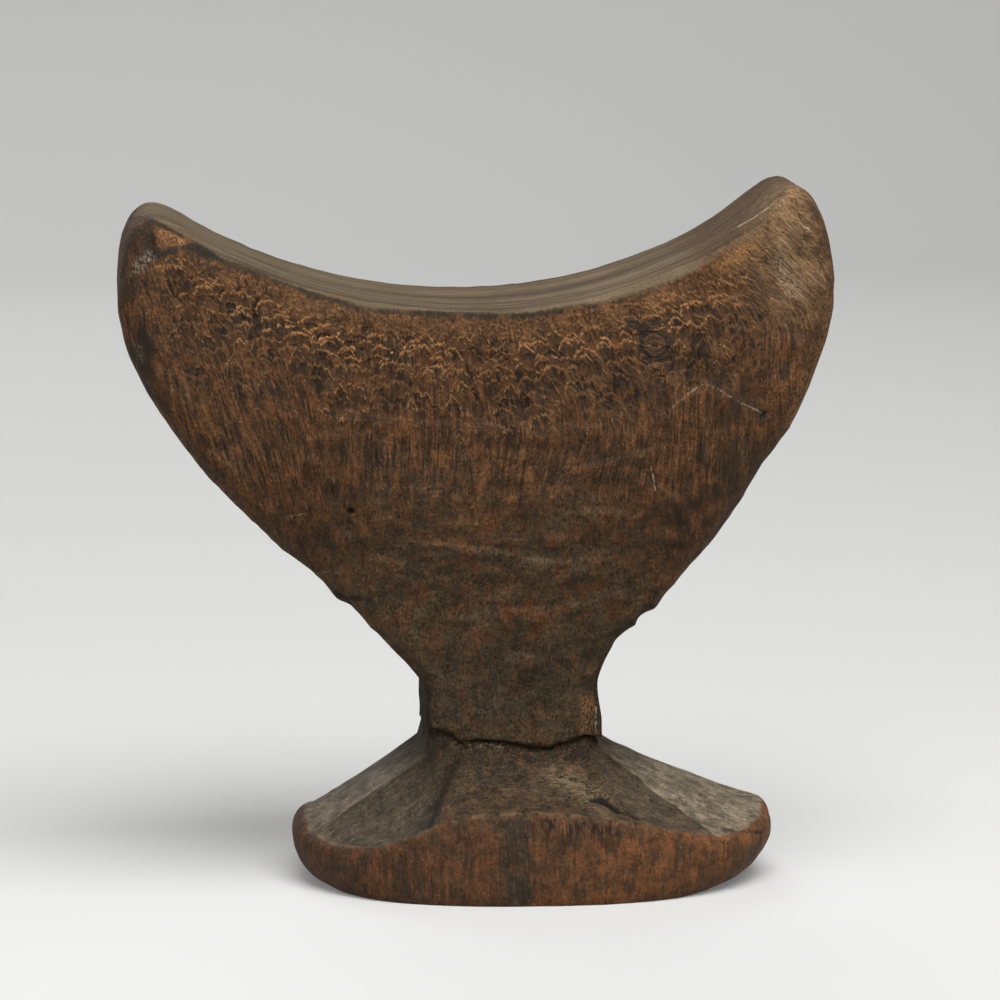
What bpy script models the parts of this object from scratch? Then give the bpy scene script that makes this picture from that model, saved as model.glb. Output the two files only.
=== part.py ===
"""A carved wooden headrest: a fan-shaped head cradle on a short neck, seated in an oval, facetted base.

Units are metres, +Z is up, the front faces -Y, and the origin is the centre of the flat underside.
"""

import math

import bmesh
import bpy
from mathutils import Vector

MM = 0.001

# Base: an oval foot whose top slopes up in flat facets to a collar under the neck.
BASE_WIDTH = 117.0 * MM
BASE_DEPTH = 86.0 * MM
BASE_SQUARENESS = 2.3  # 2 is an ellipse, more is squarer
LEFT_RIM_HEIGHT = 10.5 * MM  # where the rim is widest
RIGHT_RIM_HEIGHT = 12.5 * MM
FRONT_RIM_HEIGHT = 9.0 * MM
LEFT_CREST_HEIGHT = 15.2 * MM  # upper edge of the rim
RIGHT_CREST_HEIGHT = 16.9 * MM
FRONT_CREST_HEIGHT = 22.5 * MM
CORNER_CREST_HEIGHT = 13.0 * MM  # between the four sides the rim dips
FRONT_CREST_START = math.radians(46.0)  # direction, from the side, in which it climbs again to the front
SIDE_CREST_INSET = 4.0 * MM
FRONT_CREST_INSET = 2.4 * MM
LEFT_FOOT_INSET = 11.0 * MM  # how far the flat underside lies in from the rim
RIGHT_FOOT_INSET = 18.0 * MM
FRONT_FOOT_INSET = 1.6 * MM
LEFT_FACET_ANGLE = math.radians(17.0)  # half the turn that a facet takes up at the rim
RIGHT_FACET_ANGLE = math.radians(44.0)
FRONT_FACET_ANGLE = math.radians(24.0)
FACET_SAG = 1.8 * MM  # the front and back slopes are cut slightly hollow
SEAT_HEIGHT = 36.0 * MM  # where the neck sits on the collar
COLLAR_RISE = 3.5 * MM

# Neck: an upright block with its corners cut off.
NECK_LEAN = -5.6 * MM  # the neck stands a little to the left of the base's centre
NECK_WIDTH = 43.2 * MM
NECK_DEPTH = 40.0 * MM
NECK_CHAMFER = 5.0 * MM
NECK_HEIGHT = 12.5 * MM  # the upright stretch between the seat and the flare
NECK_OVERHANG = 1.0 * MM  # the neck's foot stands this far proud of the collar, front and back

# Joint: a stub tenon under the neck in a mortise in the base.
TENON_WIDTH = 24.0 * MM
TENON_DEPTH = 20.0 * MM
TENON_LENGTH = 16.0 * MM
TENON_ROOT = 6.0 * MM  # how far the tenon runs up into the neck
SEAT_GAP = 0.3 * MM  # clearance of the seat and of the tenon on every side

# Cradle: a fan that is widest below its two horns. Reaches are measured from the base's centre.
LEFT_REACH = 99.5 * MM
LEFT_WIDEST_HEIGHT = 146.0 * MM
LEFT_TIP_HEIGHT = 163.2 * MM
LEFT_TIP_INSET = 8.0 * MM
LEFT_NOSE_FULLNESS = 0.62  # how squarely the horn turns over its end, from 0 to 1
LEFT_SADDLE_FULLNESS = 0.85  # more makes the saddle rise sooner and flatten towards the tip
LEFT_FLARE_OUT = 12.3 * MM  # the flank flares from the neck's top, and then steps out to the wing's lip
LEFT_FLARE_RISE = 15.1 * MM
LEFT_STEP_OUT = 6.0 * MM
LEFT_STEP_RISE = 5.2 * MM
LEFT_FLANK_SLOPE = math.radians(42.0)  # rise of the flank where it leaves the lip
LEFT_FLANK_BULGE = 28.5 * MM  # length of the flank curve's handles: longer handles give a fuller flank
RIGHT_REACH = 70.7 * MM
RIGHT_WIDEST_HEIGHT = 147.0 * MM
RIGHT_TIP_HEIGHT = 168.7 * MM
RIGHT_TIP_INSET = 8.5 * MM
RIGHT_NOSE_FULLNESS = 0.5
RIGHT_SADDLE_FULLNESS = 0.68
RIGHT_FLARE_OUT = 2.5 * MM
RIGHT_FLARE_RISE = 9.3 * MM
RIGHT_STEP_OUT = 8.5 * MM
RIGHT_STEP_RISE = 8.4 * MM
RIGHT_FLANK_SLOPE = math.radians(53.0)
RIGHT_FLANK_BULGE = 25.0 * MM
SADDLE_LOW_OFFSET = -16.0 * MM  # the saddle is lowest here, left of the base's centre
SADDLE_LOW_HEIGHT = 140.9 * MM
TIP_ROUND = 3.0 * MM  # height over which the saddle rounds over at a horn's tip
CRADLE_DEPTH = 66.0 * MM
BELLY_DEPTH = 73.0 * MM  # the faces stand furthest out at the belly, and come back in above it
BELLY_HEIGHT = 104.0 * MM
FACE_CROWN = 1.6 * MM  # the faces fall back this much towards the horns
SADDLE_EDGE_ROUND = 4.0 * MM  # worn edge between the faces and the saddle
FLANK_ROUND = 4.0 * MM  # the same edge along the lower flanks
HORN_ROUND = 13.0 * MM  # and round the horns
LEFT_HORN_POWER = 6  # the saddle's edge grows round towards the horn, later where this is higher
RIGHT_HORN_POWER = 14
HORN_BLEND = 6.0 * MM  # over this width the flank's rounding runs into the saddle's at a horn

# Fineness of the two meshes.
COLUMNS = 30
LAYERS = 10
FLANK_ROWS = 9
NOSE_ROWS = 6
FACET_STEPS = 8
RIM_STEPS = 4

WOOD_BROWN = (0.105, 0.060, 0.036, 1.0)
RIM_BROWN = (0.115, 0.058, 0.033, 1.0)


def clear_scene():
    for obj in list(bpy.data.objects):
        bpy.data.objects.remove(obj)


def new_collection(name):
    collection = bpy.data.collections.new(name)
    bpy.context.scene.collection.children.link(collection)
    return collection


def wood(name, colour, roughness):
    material = bpy.data.materials.new(name)
    material.use_nodes = True
    shader = material.node_tree.nodes["Principled BSDF"]
    shader.inputs["Base Color"].default_value = colour
    shader.inputs["Roughness"].default_value = roughness
    shader.inputs["Metallic"].default_value = 0.0
    return material


def new_object(name, bm, collection, material=None):
    bmesh.ops.recalc_face_normals(bm, faces=bm.faces)
    mesh = bpy.data.meshes.new(name)
    bm.to_mesh(mesh)
    bm.free()
    obj = bpy.data.objects.new(name, mesh)
    collection.objects.link(obj)
    if material:
        mesh.materials.append(material)
        mesh.shade_smooth()
        mesh.set_sharp_from_angle(angle=math.radians(35.0))
    return obj


def box(name, width, depth, low, high, centre_x, collection):
    """An upright box between two heights, hidden because it only cuts or joins."""
    bm = bmesh.new()
    bmesh.ops.create_cube(bm, size=1.0)
    bmesh.ops.scale(bm, vec=(width, depth, high - low), verts=bm.verts)
    bmesh.ops.translate(bm, vec=(centre_x, 0.0, (low + high) / 2), verts=bm.verts)
    obj = new_object(name, bm, collection)
    obj.hide_render = True
    obj.display_type = "WIRE"
    return obj


def boolean(obj, operation, other):
    modifier = obj.modifiers.new(operation.capitalize(), "BOOLEAN")
    modifier.operation = operation
    modifier.object = other


def mix(a, b, share):
    return a + (b - a) * share


def smooth(share):
    """A share from 0 to 1 that starts and ends level."""
    share = min(1.0, max(0.0, share))
    return share * share * (3.0 - 2.0 * share)


def ease(share):
    """An even spacing from -1 to 1 drawn closer together towards both ends."""
    return math.sin(math.pi / 2 * share)


def soft_least(a, b, width):
    """The lesser of two values, rounded over where they lie within width, and a's share in it."""
    share = min(1.0, max(0.0, 0.5 + (b - a) / (2 * width)))
    return mix(b, a, share) - width * share * (1.0 - share), share


def bezier(start, start_handle, end_handle, end, u):
    """Point at u, from 0 to 1, on a cubic curve in the X-Z plane."""
    v = 1.0 - u
    weights = (v**3, 3 * v * v * u, 3 * v * u * u, u**3)
    points = (start, start_handle, end_handle, end)
    return tuple(sum(w * p[i] for w, p in zip(weights, points)) for i in (0, 1))


# The cradle and neck


def side_outline(side, flare, step, slope, bulge, widest, nose, tip):
    """The rest's outline up one side, from the neck's foot to the horn's tip, as (x, z) for each row.

    side is -1 for the left and 1 for the right, flare and step are moves (out, up), and widest and tip are
    points (reach, height). The rows of the nose lie closer together towards the tip, where it turns over.
    """
    neck = NECK_LEAN + side * NECK_WIDTH / 2
    neck_top = SEAT_HEIGHT + NECK_HEIGHT
    corner = (neck + side * flare[0], neck_top + flare[1])
    lip = (corner[0] + side * step[0], corner[1] + step[1])
    widest, tip = ((side * reach, height) for reach, height in (widest, tip))
    outline = [(neck, SEAT_HEIGHT), (neck, SEAT_HEIGHT + NECK_HEIGHT / 2), (neck, neck_top)]
    outline += [(mix(neck, corner[0], 0.5), mix(neck_top, corner[1], 0.5)), corner]
    leaving = (lip[0] + side * bulge * math.cos(slope), lip[1] + bulge * math.sin(slope))
    arriving = (widest[0], widest[1] - bulge)
    outline += [bezier(lip, leaving, arriving, widest, i / FLANK_ROWS) for i in range(FLANK_ROWS)]
    nose_side = (widest[0], mix(widest[1], tip[1], nose))
    nose_top = (mix(tip[0], widest[0], nose), tip[1])
    outline += [bezier(widest, nose_side, nose_top, tip, ease(i / NOSE_ROWS)) for i in range(NOSE_ROWS + 1)]
    return outline


def saddle_height(x, left_tip, right_tip):
    """Height of the saddle at x: a hollow that rises from its low point and ends level at both tips."""
    if x < SADDLE_LOW_OFFSET:
        tip, fullness = left_tip, LEFT_SADDLE_FULLNESS
    else:
        tip, fullness = right_tip, RIGHT_SADDLE_FULLNESS
    share = (x - SADDLE_LOW_OFFSET) / (tip[0] - SADDLE_LOW_OFFSET)
    height = mix(SADDLE_LOW_HEIGHT, tip[1] + TIP_ROUND, mix(share**4, share**2, fullness))
    return soft_least(height, tip[1], TIP_ROUND)[0]


def half_depth(height, along):
    """Half the rest's thickness at a height and along the width, from -1 at the left to 1 at the right."""
    neck_top = SEAT_HEIGHT + NECK_HEIGHT
    if height < neck_top:
        return NECK_DEPTH / 2
    if height < BELLY_HEIGHT:
        rise = (height - neck_top) / (BELLY_HEIGHT - neck_top)
        half = mix(NECK_DEPTH, BELLY_DEPTH, smooth(rise)) / 2
        return half - FACE_CROWN * along**4 * smooth(rise)
    fall = (height - BELLY_HEIGHT) / (SADDLE_LOW_HEIGHT - BELLY_HEIGHT)
    return mix(BELLY_DEPTH, CRADLE_DEPTH, min(1.0, fall) ** 2) / 2 - FACE_CROWN * along**4


def fan_grid(left, right):
    """The fan drawn flat, as points (x, z) by column and row: straight rows that sag to the saddle."""
    grid = []
    for column in range(COLUMNS + 1):
        across = (ease(2.0 * column / COLUMNS - 1.0) + 1.0) / 2.0
        top = mix(left[-1][1], right[-1][1], across)
        sag = top - saddle_height(mix(left[-1][0], right[-1][0], across), left[-1], right[-1])
        line = []
        for (left_x, left_z), (right_x, right_z) in zip(left, right):
            rise = fan_rise((left_z + right_z) / 2)
            line.append(Vector((mix(left_x, right_x, across), mix(left_z, right_z, across) - rise**2 * sag)))
        grid.append(line)
    return grid


def fan_rise(height):
    """How far a height lies up the fan: 0 at the neck's top and 1 at the mean height of the horns' tips."""
    neck_top = SEAT_HEIGHT + NECK_HEIGHT
    return max(0.0, height - neck_top) / ((LEFT_TIP_HEIGHT + RIGHT_TIP_HEIGHT) / 2 - neck_top)


def fan_edges(grid):
    """The fan's flanks, taken together, and its saddle: each as points with their inward directions."""
    left, right = grid[0], grid[-1][::-1]
    points = left + [line[-1] for line in grid[1:-1]] + right
    edge = []
    for before, point, after in zip(points[:1] + points, points, points[1:] + points[-1:]):
        run = (after - before).normalized()
        edge.append((point, Vector((run.y, -run.x))))
    left_tip, right_tip = len(left) - 1, len(points) - len(right)
    return edge[: left_tip + 1] + edge[right_tip:], edge[left_tip : right_tip + 1]


def nearest(point, edge):
    """Distance of a point from an edge, with the way in at the edge's nearest point."""
    edge_point, way_in = min(edge, key=lambda candidate: (point - candidate[0]).length_squared)
    return (point - edge_point).length, way_in


def from_edges(point, flanks, saddle):
    """Distance of a point from the fan's edge and the way in, blended where a flank meets the saddle."""
    flank_gap, flank_way = nearest(point, flanks)
    saddle_gap, saddle_way = nearest(point, saddle)
    gap, share = soft_least(flank_gap, saddle_gap, HORN_BLEND)
    return max(0.0, gap), saddle_way.lerp(flank_way, share)


def edge_radius(rise, along):
    """Radius of the worn edge, up the fan and along its width."""
    power = LEFT_HORN_POWER if along < 0.0 else RIGHT_HORN_POWER
    return mix(SADDLE_EDGE_ROUND, mix(FLANK_ROUND, HORN_ROUND, rise**2), abs(along) ** power)


def round_over(radius, from_face, from_edge):
    """How far a point of a square edge moves in from its face and from its edge, to round it."""
    face = max(0.0, radius - from_face)
    edge = max(0.0, radius - from_edge)
    kept = 1.0 / max(1.0, math.hypot(face, edge) / radius)
    return face * (1.0 - kept), edge * (1.0 - kept)


def grid_block(columns, layers, rows):
    """A cube from -1 to 1 whose faces are cut into that many columns (X), layers (Y) and rows (Z)."""
    bm = bmesh.new()
    bmesh.ops.create_cube(bm, size=2.0)
    for axis, count in enumerate((columns, layers, rows)):
        along = [e for e in bm.edges if abs(e.verts[0].co[axis] - e.verts[1].co[axis]) > 1.0]
        bmesh.ops.subdivide_edges(bm, edges=along, cuts=count - 1, use_grid_fill=True)
    return bm


def make_rest(collection, tools, material):
    """The cradle and its neck, one carved piece: a squared block drawn out to the two side outlines."""
    left = side_outline(
        -1,
        (LEFT_FLARE_OUT, LEFT_FLARE_RISE),
        (LEFT_STEP_OUT, LEFT_STEP_RISE),
        LEFT_FLANK_SLOPE,
        LEFT_FLANK_BULGE,
        (LEFT_REACH, LEFT_WIDEST_HEIGHT),
        LEFT_NOSE_FULLNESS,
        (LEFT_REACH - LEFT_TIP_INSET, LEFT_TIP_HEIGHT),
    )
    right = side_outline(
        1,
        (RIGHT_FLARE_OUT, RIGHT_FLARE_RISE),
        (RIGHT_STEP_OUT, RIGHT_STEP_RISE),
        RIGHT_FLANK_SLOPE,
        RIGHT_FLANK_BULGE,
        (RIGHT_REACH, RIGHT_WIDEST_HEIGHT),
        RIGHT_NOSE_FULLNESS,
        (RIGHT_REACH - RIGHT_TIP_INSET, RIGHT_TIP_HEIGHT),
    )
    grid = fan_grid(left, right)
    flanks, saddle = fan_edges(grid)
    rows = len(left) - 1
    bm = grid_block(COLUMNS, LAYERS, rows)
    for vert in bm.verts:
        along, deep = ease(vert.co.x), ease(vert.co.y)
        column = round((vert.co.x + 1.0) / 2.0 * COLUMNS)
        row = round((vert.co.z + 1.0) / 2.0 * rows)
        point = grid[column][row]
        from_edge, way_in = from_edges(point, flanks, saddle)
        half = half_depth(point.y, along)
        radius = edge_radius(fan_rise((left[row][1] + right[row][1]) / 2), along)
        in_face, in_edge = round_over(radius, (1.0 - abs(deep)) * half, from_edge)
        x, z = point + way_in * in_edge
        vert.co = (x, deep * half - math.copysign(in_face, deep), z)
    rest = new_object("cradle_and_neck", bm, collection, material)
    low = SEAT_HEIGHT - TENON_LENGTH
    tenon = box("tenon", TENON_WIDTH, TENON_DEPTH, low, SEAT_HEIGHT + TENON_ROOT, NECK_LEAN, tools)
    boolean(rest, "UNION", tenon)
    return rest


# The base


def facet_corners():
    """The collar's eight corners, round from the right, with the direction in which each meets the rim."""
    wide = NECK_WIDTH / 2
    deep = NECK_DEPTH / 2 - NECK_OVERHANG
    cut = NECK_CHAMFER
    back = [
        ((wide, deep - cut), RIGHT_FACET_ANGLE),
        ((wide - cut, deep), math.pi / 2 - FRONT_FACET_ANGLE),
        ((cut - wide, deep), math.pi / 2 + FRONT_FACET_ANGLE),
        ((-wide, deep - cut), math.pi - LEFT_FACET_ANGLE),
    ]
    return back + [((x, -y), 2 * math.pi - turn) for (x, y), turn in reversed(back)]


def rim_point(turn, inset):
    """A point of the oval outline in a direction, moved in by inset."""
    power = 2.0 / BASE_SQUARENESS
    c, s = math.cos(turn), math.sin(turn)
    x = math.copysign(abs(c) ** power, c) * (BASE_WIDTH / 2 - inset)
    y = math.copysign(abs(s) ** power, s) * (BASE_DEPTH / 2 - inset)
    return x, y


def base_profile(collar, turn):
    """One profile down the base, from the collar's top to the edge of the underside, as (x, y, z)."""
    top = SEAT_HEIGHT - SEAT_GAP
    front = abs(math.sin(turn))
    side = abs(math.cos(turn)) ** 4
    if math.cos(turn) < 0.0:
        side_crest, side_rim, side_inset = LEFT_CREST_HEIGHT, LEFT_RIM_HEIGHT, LEFT_FOOT_INSET
    else:
        side_crest, side_rim, side_inset = RIGHT_CREST_HEIGHT, RIGHT_RIM_HEIGHT, RIGHT_FOOT_INSET
    start = math.sin(FRONT_CREST_START)
    climb = smooth((front - start) / (1.0 - start))
    crest_height = mix(mix(CORNER_CREST_HEIGHT, side_crest, side), FRONT_CREST_HEIGHT, climb)
    crest_inset = mix(FRONT_CREST_INSET, SIDE_CREST_INSET, side)
    rim_height = mix(FRONT_RIM_HEIGHT, side_rim, side)
    foot_inset = mix(FRONT_FOOT_INSET, side_inset, side)
    foot = (collar[0] + NECK_LEAN, collar[1], top - COLLAR_RISE)
    crest = (*rim_point(turn, crest_inset), crest_height)
    middle = [mix(foot[i], crest[i], 0.5) for i in range(3)]
    middle[2] -= FACET_SAG * front**2
    profile = [(foot[0], foot[1], top), foot, tuple(middle)]
    for i in range(RIM_STEPS):
        arc = math.pi / 2 * (1.0 - i / RIM_STEPS)
        x, y = rim_point(turn, crest_inset * (1.0 - math.cos(arc)))
        profile.append((x, y, mix(rim_height, crest_height, math.sin(arc))))
    for i in range(RIM_STEPS + 1):
        arc = math.pi / 2 * i / RIM_STEPS
        x, y = rim_point(turn, foot_inset * (1.0 - math.cos(arc)))
        profile.append((x, y, rim_height * (1.0 - math.sin(arc))))
    return profile


def make_base(collection, tools, material):
    """The base: a loft from the eight-sided collar down to the oval rim, with a mortise for the tenon."""
    corners = facet_corners()
    profiles = []
    for (start, start_turn), (end, end_turn) in zip(corners, corners[1:] + corners[:1]):
        end_turn += 2 * math.pi if end_turn < start_turn else 0.0
        for step in range(FACET_STEPS):
            share = step / FACET_STEPS
            collar = (mix(start[0], end[0], share), mix(start[1], end[1], share))
            profiles.append(base_profile(collar, mix(start_turn, end_turn, share)))
    bm = bmesh.new()
    lines = [[bm.verts.new(point) for point in profile] for profile in profiles]
    for line, after in zip(lines, lines[1:] + lines[:1]):
        for i in range(len(line) - 1):
            bm.faces.new((line[i], line[i + 1], after[i + 1], after[i]))
    bm.faces.new([line[0] for line in lines])
    bm.faces.new([line[-1] for line in lines])
    base = new_object("base", bm, collection, material)
    low = SEAT_HEIGHT - TENON_LENGTH - SEAT_GAP
    wide = TENON_WIDTH + 2 * SEAT_GAP
    deep = TENON_DEPTH + 2 * SEAT_GAP
    mortise = box("mortise", wide, deep, low, SEAT_HEIGHT, NECK_LEAN, tools)
    boolean(base, "DIFFERENCE", mortise)
    return base


def main():
    clear_scene()
    parts = new_collection("headrest")
    tools = new_collection("cutters")
    make_rest(parts, tools, wood("rest_wood", WOOD_BROWN, 0.62))
    make_base(parts, tools, wood("base_wood", RIM_BROWN, 0.66))


main()
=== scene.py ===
"""A carved wooden headrest, dressed: the fan-shaped cradle on its neck, and the oval base under it.

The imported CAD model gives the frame. Shapes are worked out in millimetres, +Z up, with the front facing -Y.
"""

import math

import bpy
import mathutils
import numpy as np
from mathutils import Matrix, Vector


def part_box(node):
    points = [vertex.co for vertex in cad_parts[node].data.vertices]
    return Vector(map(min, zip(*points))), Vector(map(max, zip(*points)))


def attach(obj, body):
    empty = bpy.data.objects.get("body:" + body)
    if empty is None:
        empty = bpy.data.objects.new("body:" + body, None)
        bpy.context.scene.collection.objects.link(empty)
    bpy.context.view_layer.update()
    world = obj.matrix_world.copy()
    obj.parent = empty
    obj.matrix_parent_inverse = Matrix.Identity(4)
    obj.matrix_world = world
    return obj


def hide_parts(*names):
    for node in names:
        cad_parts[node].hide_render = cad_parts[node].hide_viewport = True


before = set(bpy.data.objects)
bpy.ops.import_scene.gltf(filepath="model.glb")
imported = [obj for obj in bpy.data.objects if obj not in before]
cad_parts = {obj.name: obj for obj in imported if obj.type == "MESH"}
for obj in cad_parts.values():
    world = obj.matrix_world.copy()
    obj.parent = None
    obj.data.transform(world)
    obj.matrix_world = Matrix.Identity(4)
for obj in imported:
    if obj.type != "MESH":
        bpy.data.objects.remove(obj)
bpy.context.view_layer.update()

# The cradle and its neck: one block of dense brown hardwood, carved to a fan with a hollowed saddle and two
# horns. Its fibres stand upright, so weather has eaten scalloped steps into the upper faces, and heads have
# worn the saddle smooth and grey. It sits on the base's collar.

MM = 0.001
BELLY_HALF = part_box("cradle_and_neck")[1][1] / MM
NECK_HALF_DEPTH = 20.0
NECK_TOP = 49.0
BELLY_HEIGHT = 104.0  # the faces stand furthest out here
SADDLE_LOW = 141.0  # lowest height of the saddle, where the faces are set back by TOP_SETBACK
TOP_SETBACK = 3.6
FACE_CROWN = 1.6  # the faces fall back this much towards the horns
SADDLE_EDGE_ROUND = 4.0  # worn edge between a face and the saddle
HORN_ROUND = 13.0  # the same edge round the horns
FLANK_ROUND = 4.0  # and along the lower flanks
LEFT_HORN_POWER = 6  # the saddle's edge grows round towards a horn, later where this is higher
RIGHT_HORN_POWER = 14
HORN_BLEND = 6.0  # width over which the flank's rounding runs into the saddle's
SEAT = 36.0  # height at which the neck sits on the base
# The two side outlines climb from the neck's foot over the flank's notch to the horn's tip, and the saddle
# hangs between the tips, as (x, z).
LEFT_OUTLINE = [
    (-26.5, 33.0), (-26.5, 41.0), (-27.3, 49.6), (-30.6, 53.9), (-40.6, 64.8), (-44.8, 69.6), (-48.2, 71.8),
    (-51.4, 75.4), (-61.9, 84.9), (-74.6, 97.3), (-84.6, 109.3), (-92.6, 121.4), (-97.2, 130.8),
    (-99.4, 140.3), (-99.3, 150.5), (-97.9, 157.0), (-95.4, 161.3), (-92.0, 163.2),
]
RIGHT_OUTLINE = [
    (15.8, 33.0), (15.6, 41.0), (15.0, 50.6), (16.5, 54.8), (17.9, 57.8), (19.2, 60.4), (21.6, 62.2),
    (23.8, 63.6), (24.4, 65.5), (25.8, 67.0), (28.2, 68.3), (30.4, 71.2), (34.9, 77.2), (44.4, 89.8),
    (51.7, 102.0), (60.2, 113.9), (65.2, 124.8), (69.0, 135.0), (70.7, 146.5), (69.9, 156.0), (67.9, 162.4),
    (65.5, 166.6), (62.0, 168.7),
]
SADDLE = [
    (-88.6, 162.6), (-85.2, 160.9), (-82.0, 158.9), (-67.0, 151.2), (-45.0, 144.1), (-16.0, 140.9),
    (14.7, 144.6), (29.6, 149.6), (44.5, 156.9), (53.0, 163.1), (56.6, 166.3), (59.4, 168.2),
]
# The neck's foot ends in three chisel strokes across the front, as (x, z).
FOOT_STROKES = [
    (-28.0, 39.6), (-22.0, 39.0), (-19.8, 37.5), (-19.3, 36.4), (-9.0, 36.0), (2.8, 34.3), (4.6, 35.3),
    (11.7, 37.1), (16.0, 36.3),
]
KNOT = (26.5, 133.1)
KNOT_RADIUS = 3.2
KNOT_OVAL = 0.85  # width over height of the oval that the fibres part round
NO_KNOT = 99.0  # distance from the knot that the back is given, which has none
GROWTH_LAYER = 1.26  # thickness of the layers that the weather leaves standing
# The fibres lean under the saddle and on the left, about LEAN_HEIGHT, and bend over the right horn.
MIDDLE_LEAN = 0.34
LEFT_LEAN = 0.3
LEAN_HEIGHT = 126.0
BEND_START = 134.0
BEND_RISE = 9.0  # height over which the bend grows, before it runs on straight
BEND = 0.05  # shift across for each mm of height squared
# The saddle's near edge, where the grey of its top ends on the face. This and all marks below are (x, z) on
# the plane FRONT_PLANE, as they show from in front, a little above and to the left.
FRONT_PLANE = -35.0
SIGHT_DROP, SIGHT_SHIFT = 0.133, 0.07
NEAR_EDGE = [
    (-110.0, 168.0), (-92.6, 163.9), (-86.6, 161.0), (-79.4, 156.6), (-75.2, 153.9), (-60.7, 148.6),
    (-51.4, 145.4), (-39.4, 142.0), (-28.9, 141.2), (-5.3, 140.4), (13.5, 143.4), (22.2, 145.0),
    (34.5, 149.8), (44.0, 155.0), (51.0, 159.3), (53.4, 163.1), (55.5, 166.6), (59.0, 171.5), (90.0, 176.0),
]
# Marks on the front, each a route with its width and strength.
DARK_STAINS_AND_SHADOWS = [
    ([(-99.0, 148.0), (-98.0, 157.0), (-93.5, 161.5)], 4.2, 0.42),
    ([(-92.6, 160.4), (-92.0, 158.0), (-94.4, 154.0)], 2.2, 0.6),
    (
        [(-94.0, 155.2), (-91.0, 155.4), (-86.0, 156.4), (-82.6, 156.8), (-79.4, 155.6), (-72.0, 152.8)],
        1.1, 0.75,
    ),
    ([(-93.6, 136.0), (-95.6, 129.0), (-93.0, 122.0)], 2.8, 0.8),
    ([(20.8, 137.6), (23.6, 136.6)], 1.7, 0.8),
    ([(42.0, 122.0), (46.0, 106.0), (36.0, 92.0)], 10.0, 0.34),
    # Painted shadows: down the neck, on the neck's left side, and under the two notches.
    ([(8.1, 46.0), (8.1, 36.5)], 0.9, 0.4),
    ([(-27.5, 41.0), (-27.5, 46.0)], 1.2, 0.5),
    ([(-49.3, 74.9), (-47.4, 73.4), (-41.0, 72.9)], 0.8, 0.55),
    ([(26.3, 70.5), (24.9, 69.8), (21.3, 66.0), (18.0, 64.1)], 0.8, 0.6),
]
BARE_WOOD = [
    ([(-88.9, 160.4), (-85.4, 158.8)], 2.0, 1.0),
    ([(-62.0, 143.2), (-40.0, 138.8), (-15.0, 136.8), (5.0, 137.0), (20.0, 139.6)], 2.2, 0.15),
    ([(43.8, 152.4), (49.0, 156.2)], 2.4, 1.0),
    ([(26.5, 142.6), (30.2, 144.6)], 2.0, 0.65),
    ([(56.0, 167.5), (62.0, 171.0)], 3.0, 0.8),
    ([(60.0, 115.0), (68.0, 133.0), (71.5, 150.0)], 2.6, 0.55),
    ([(11.2, 47.5), (11.2, 38.0)], 2.0, 0.35),
]
PATINA = [([(57.0, 168.0), (58.5, 158.0), (60.5, 148.0)], 8.5, 0.9)]
GLINTS = [
    ([(-95.4, 152.0), (-94.6, 153.6), (-92.8, 154.6)], 1.3, 0.9),
    ([(-95.4, 133.6), (-94.4, 130.4)], 0.9, 0.55),
    ([(55.8, 153.0), (57.8, 149.0), (60.2, 145.8)], 1.5, 0.55),
]
# Thin lines on the front: pale where the tone is above 0, dark where it is below.
THIN_LINES = [
    (0.32, [(30.6, 118.1), (34.4, 121.4), (38.2, 123.8), (42.0, 122.0), (46.5, 119.2), (52.2, 116.5)]),
    (-0.9, [(40.2, 122.1), (42.4, 121.0)]),
    (-0.8, [(44.6, 119.7), (46.0, 118.9)]),
    (-0.5, [(-47.0, 117.6), (-37.0, 115.6), (-29.0, 115.0)]),
    (0.2, [(-51.0, 116.9), (-44.0, 115.7)]),
    (0.1, [(-22.0, 113.4), (-12.0, 112.9), (-2.0, 112.8)]),
    (-0.35, [(-14.8, 114.2), (0.0, 113.9), (11.2, 113.9)]),
    # Pale wear and painted highlight along the saddle's near edge by the right horn.
    (1.0, [(46.6, 161.4), (47.7, 162.0), (50.5, 163.6), (53.5, 165.7)]),
    # Painted highlight along the top of the first ledge.
    (0.1, [(-27.1, 86.6), (-22.6, 86.1), (-18.8, 85.2), (-11.8, 84.5)]),
    (0.4, [(25.7, 103.4), (26.7, 98.7)]),
    (0.35, [(-59.4, 93.2), (-56.8, 93.7)]),
    (0.35, [(-52.6, 79.2), (-48.6, 79.6)]),
    (0.5, [(56.6, 148.0), (57.8, 146.6), (58.6, 144.8)]),
    (0.7, [(61.8, 161.0), (63.0, 160.4)]),
    # Painted highlights down the neck's lit right edge.
    (0.6, [(13.1, 46.0), (13.1, 41.0)]),
    (0.5, [(14.4, 43.6), (14.5, 39.6)]),
]
# Worm holes, as (x, z) on the face itself.
WORM_HOLES = [(52.4, 116.3), (-45.2, 94.1)]
WORM_HOLE_RADIUS = 0.8
WORM_HOLE_DEPTH = 1.6
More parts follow.
